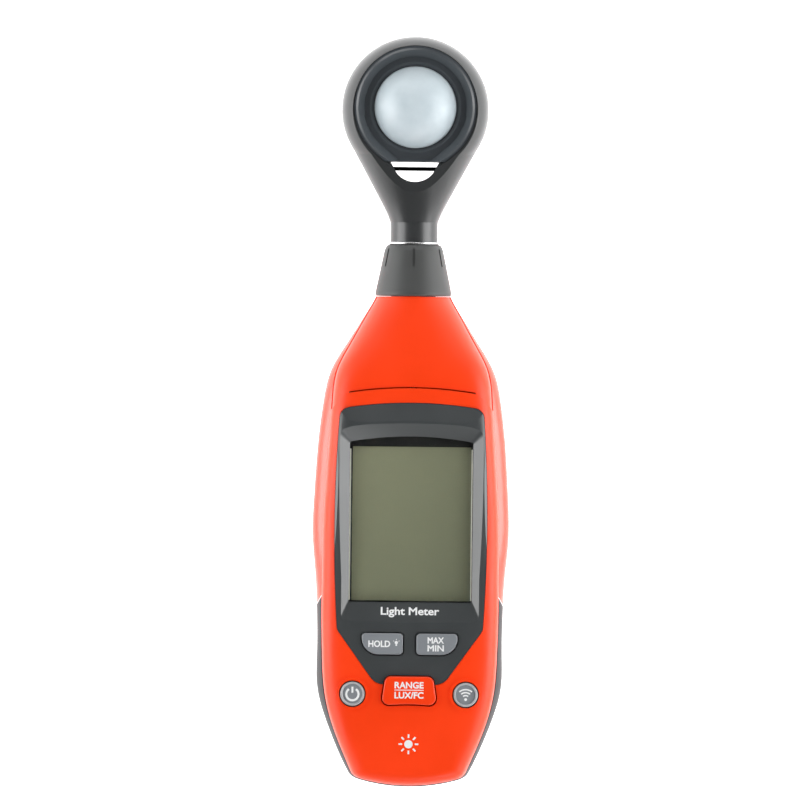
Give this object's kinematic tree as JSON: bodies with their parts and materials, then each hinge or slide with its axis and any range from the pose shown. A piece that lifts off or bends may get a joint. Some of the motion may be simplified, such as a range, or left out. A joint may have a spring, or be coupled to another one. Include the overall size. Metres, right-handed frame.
{
  "type": "handheld light meter",
  "caption": "Slim handheld light meter with a domed sensor in a swivelling round head, a display, push keys and a sliding battery door.",
  "frame": {"origin": "centre of the bounding box at the back face, the meter lying on its back", "axes": "+Y from the handset towards the sensor head, +Z out of the display, +X to the right seen from the display side"},
  "size_m": [0.0498, 0.19, 0.0297],
  "materials": {
    "red_shell": "fine satin moulded red-orange ABS",
    "dark_panel": "satin dark grey panel",
    "window": "clear acrylic window",
    "lcd": "olive grey liquid crystal panel, blank",
    "light_guide": "milky acrylic",
    "white_plastic": "white moulded plastic",
    "elastomer": "black elastomer",
    "circuit_board": "green solder mask",
    "chip": "black moulded package",
    "shield": "tinned shield can",
    "silicone": "grey silicone rubber",
    "screw_steel": "zinc-plated steel",
    "nickel": "nickel-plated spring steel",
    "cell_wrap": "printed sleeve, no lettering",
    "lead_red": "PVC insulation",
    "lead_black": "PVC insulation",
    "lead_grey": "PVC insulation",
    "door_plastic": "textured dark grey ABS",
    "foam": "closed-cell foam",
    "grey_key": "satin grey key",
    "red_key": "satin red-orange key",
    "head_plastic": "satin dark grey ABS",
    "dish_plastic": "fine satin dark grey",
    "diffuser": "translucent milk-white diffuser",
    "black_plastic": "black moulded plastic",
    "filter_glass": "green correction filter",
    "collar_rubber": "soft dark grey sleeve",
    "satin_ring": "satin ring"
  },
  "bodies": {
    "handset": {"front_shell": "red_shell", "rear_shell": "red_shell", "display_bezel": "dark_panel", "display_window": "window", "lcd_panel": "lcd", "light_guide": "light_guide", "lcd_frame": "white_plastic", "zebra_strip": "elastomer", "main_board": "circuit_board", "processor_chip": "chip", "wireless_module": "shield", "keypad_mat": "silicone", "board_screws": "screw_steel", "case_screws": "screw_steel", "battery_contacts": "nickel", "battery_springs": "nickel", "battery_cell_1": "cell_wrap", "battery_cell_2": "cell_wrap", "battery_cell_3": "cell_wrap", "battery_lead_red": "lead_red", "battery_lead_black": "lead_black", "sensor_lead_handset": "lead_grey"},
    "battery_door": {"battery_door": "door_plastic", "door_foam_pad": "foam"},
    "hold_button": {"hold_button": "grey_key"},
    "max_min_button": {"max_min_button": "grey_key"},
    "range_button": {"range_button": "red_key"},
    "power_button": {"power_button": "grey_key"},
    "wireless_button": {"wireless_button": "grey_key"},
    "sensor_head": {"head_housing": "head_plastic", "head_cover": "dish_plastic", "diffuser_dome": "diffuser", "dome_retainer": "black_plastic", "filter_disc": "filter_glass", "photodiode": "chip", "sensor_board": "circuit_board", "head_screws": "screw_steel", "sensor_lead_head": "lead_grey", "swivel_collar": "collar_rubber", "neck_ring": "satin_ring", "swivel_washer": "screw_steel", "swivel_o_ring": "elastomer"}
  },
  "joints": [
    {"name": "head_swivel", "type": "hinge", "parent": "handset", "child": "sensor_head", "pos_m": [0, 0.0292, 0.015], "axis": [0, 1, 0], "range_deg": [-135, 135]},
    {"name": "door_slide", "type": "slide", "parent": "handset", "child": "battery_door", "axis": [0, -1, 0], "range_m": [0, 0.062]},
    {"name": "hold_button_press", "type": "slide", "parent": "handset", "child": "hold_button", "axis": [0, 0, -1], "range_m": [0, 0.0007], "stiffness_N_per_m": 900, "springref_m": -0.0004, "deforming": ["keypad_mat"]},
    {"name": "max_min_button_press", "type": "slide", "parent": "handset", "child": "max_min_button", "axis": [0, 0, -1], "range_m": [0, 0.0007], "stiffness_N_per_m": 900, "springref_m": -0.0004, "deforming": ["keypad_mat"]},
    {"name": "range_button_press", "type": "slide", "parent": "handset", "child": "range_button", "axis": [0, 0, -1], "range_m": [0, 0.0007], "stiffness_N_per_m": 900, "springref_m": -0.0004, "deforming": ["keypad_mat"]},
    {"name": "power_button_press", "type": "slide", "parent": "handset", "child": "power_button", "axis": [0, 0, -1], "range_m": [0, 0.0007], "stiffness_N_per_m": 900, "springref_m": -0.0004, "deforming": ["keypad_mat"]},
    {"name": "wireless_button_press", "type": "slide", "parent": "handset", "child": "wireless_button", "axis": [0, 0, -1], "range_m": [0, 0.0007], "stiffness_N_per_m": 900, "springref_m": -0.0004, "deforming": ["keypad_mat"]}
  ]
}
